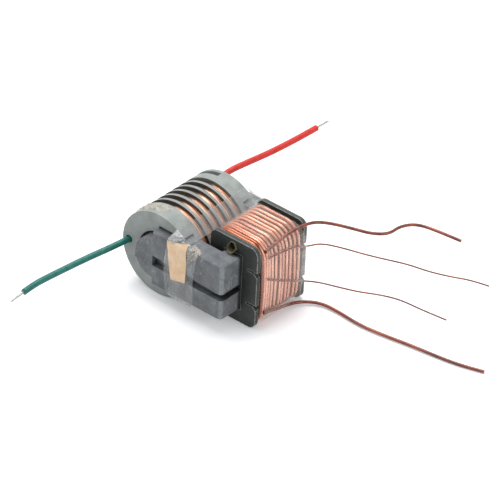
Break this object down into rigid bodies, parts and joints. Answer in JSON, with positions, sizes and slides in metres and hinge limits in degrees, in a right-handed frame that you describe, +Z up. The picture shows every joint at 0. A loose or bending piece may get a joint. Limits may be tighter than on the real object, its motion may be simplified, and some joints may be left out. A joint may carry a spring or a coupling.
{
  "type": "high voltage generator",
  "caption": "High voltage generator: two ferrite U halves carry a slotted fine-wire bobbin and a square heavy-wire bobbin, with free insulated and enamelled leads.",
  "frame": {"origin": "centre of the underside of the wound core, without the free leads", "axes": "+X from the slotted secondary bobbin to the primary bobbin, +Y from the labelled front yoke to the rear yoke, +Z up"},
  "size_m": [0.0965, 0.1133, 0.0244],
  "materials": {
    "ferrite": "matt sintered ferrite",
    "bobbin_grey": "matt moulded",
    "bobbin_dark": "matt moulded, worn light at the edges",
    "fine_copper": "lacquered fine copper",
    "heavy_copper": "lacquered heavy copper",
    "tinned_copper": "tinned copper, satin",
    "green_jacket": "matt lead jacket",
    "red_jacket": "satin lead jacket",
    "clear_tape": "clear adhesive tape",
    "paper_tape": "plain tan paper tape",
    "olive_sleeve": "translucent varnished sleeving",
    "sealant": "rough dull filler",
    "insulating_film": "thin film",
    "spacer": "plain spacer card"
  },
  "bodies": {
    "root": {"core_gap_shim_round": "spacer", "core_gap_shim_square": "spacer", "core_tape_band": "clear_tape", "feedback_winding": "heavy_copper", "front_core_half": "ferrite", "front_joint_sealant": "sealant", "green_lead_conductor": "tinned_copper", "green_lead_jacket": "green_jacket", "insulating_sleeve": "olive_sleeve", "interlayer_tape": "insulating_film", "paper_label": "paper_tape", "primary_bobbin": "bobbin_dark", "primary_winding": "heavy_copper", "rear_core_half": "ferrite", "red_lead_conductor": "tinned_copper", "red_lead_jacket": "red_jacket", "secondary_bobbin": "bobbin_grey", "secondary_winding_1": "fine_copper", "secondary_winding_2": "fine_copper", "secondary_winding_3": "fine_copper", "secondary_winding_4": "fine_copper", "secondary_winding_5": "fine_copper", "secondary_winding_6": "fine_copper", "thick_lead_lower": "heavy_copper", "thick_lead_upper": "heavy_copper", "thin_lead_lower": "heavy_copper", "thin_lead_upper": "heavy_copper", "winding_tape_wrap": "clear_tape"}
  },
  "joints": []
}
